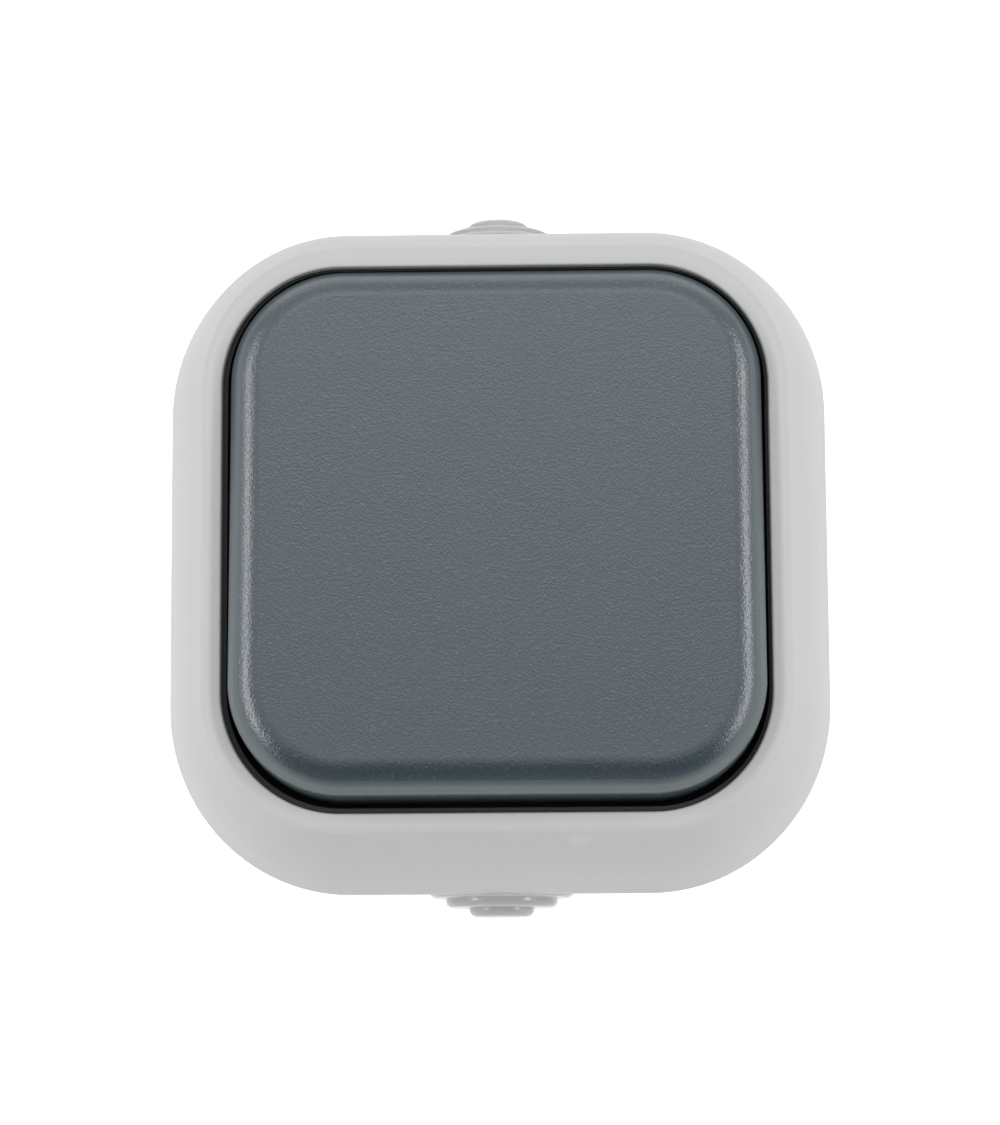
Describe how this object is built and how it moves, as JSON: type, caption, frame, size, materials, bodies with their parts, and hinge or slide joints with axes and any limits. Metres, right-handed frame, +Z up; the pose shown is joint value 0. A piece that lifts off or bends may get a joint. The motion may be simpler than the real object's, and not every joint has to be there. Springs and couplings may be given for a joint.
{
  "type": "outdoor weatherproof switch",
  "caption": "Surface-mounted weatherproof rocker switch: rounded-square light grey cover frame, large dark rocker in a black seal, stepped cable grommets above and below.",
  "frame": {"origin": "centre of the back face that sits on the wall", "axes": "-Y out of the wall towards the user, +Z up, +X to the user's right"},
  "size_m": [0.066, 0.0555, 0.072],
  "materials": {
    "cover_plastic": "satin moulded light grey",
    "base_plastic": "satin moulded light grey",
    "grommet_rubber": "soft light grey elastomer",
    "gasket_rubber": "dull black foam rubber",
    "seal_rubber": "dull black rubber",
    "rocker_plastic": "fine pebble grain with a smooth border",
    "white_polyamide": "natural white moulding",
    "insert_plastic": "moulded thermoplastic",
    "button_plastic": "moulded orange plastic",
    "zinc_steel": "zinc plated",
    "spring_steel": "bright spring steel",
    "contact_brass": "plain sheet",
    "silver_alloy": "silver contact alloy"
  },
  "bodies": {
    "housing": {"base_box": "base_plastic", "cable_grommet_top": "grommet_rubber", "cable_grommet_bottom": "grommet_rubber", "rim_gasket": "gasket_rubber", "cover_frame": "cover_plastic", "rocker_seal": "seal_rubber", "insert_body": "insert_plastic", "support_strap": "zinc_steel", "insert_cover": "insert_plastic", "common_terminal": "contact_brass", "fixed_contact_a": "contact_brass", "fixed_contact_b": "contact_brass", "fixed_rivets": "silver_alloy", "clamp_spring_common": "spring_steel", "clamp_spring_a": "spring_steel", "clamp_spring_b": "spring_steel", "strap_screws": "zinc_steel", "cover_screws": "zinc_steel"},
    "rocker": {"rocker": "rocker_plastic", "actuator": "white_polyamide", "toggle_spring": "spring_steel"},
    "plunger": {"plunger": "white_polyamide"},
    "moving_contact": {"moving_contact": "contact_brass", "moving_rivets": "silver_alloy"},
    "release_button_common": {"release_button_common": "button_plastic"},
    "release_button_a": {"release_button_a": "button_plastic"},
    "release_button_b": {"release_button_b": "button_plastic"}
  },
  "joints": [
    {"name": "rocker_tilt", "type": "hinge", "parent": "housing", "child": "rocker", "pos_m": [0, -0.045, 0], "axis": [1, 0, 0], "range_deg": [0, 7.5]},
    {"name": "contact_tilt", "type": "hinge", "parent": "housing", "child": "moving_contact", "pos_m": [0, -0.031, 0], "axis": [1, 0, 0], "range_deg": [-10, 0]},
    {"name": "plunger_slide", "type": "slide", "parent": "rocker", "child": "plunger", "axis": [0, -0.9979, 0.0654], "range_m": [0, 0.0008], "stiffness_N_per_m": 1500, "springref_m": -0.001, "deforming": ["toggle_spring"]},
    {"name": "release_common_slide", "type": "slide", "parent": "housing", "child": "release_button_common", "axis": [0, -1, 0], "range_m": [0, 0.0015], "stiffness_N_per_m": 1000, "springref_m": -0.0005, "deforming": ["clamp_spring_common"]},
    {"name": "release_a_slide", "type": "slide", "parent": "housing", "child": "release_button_a", "axis": [0, -1, 0], "range_m": [0, 0.0015], "stiffness_N_per_m": 1000, "springref_m": -0.0005, "deforming": ["clamp_spring_a"]},
    {"name": "release_b_slide", "type": "slide", "parent": "housing", "child": "release_button_b", "axis": [0, -1, 0], "range_m": [0, 0.0015], "stiffness_N_per_m": 1000, "springref_m": -0.0005, "deforming": ["clamp_spring_b"]}
  ],
  "couplings": [
    {"joint": "contact_tilt", "follows": "rocker_tilt", "ratio": -1.3333}
  ]
}
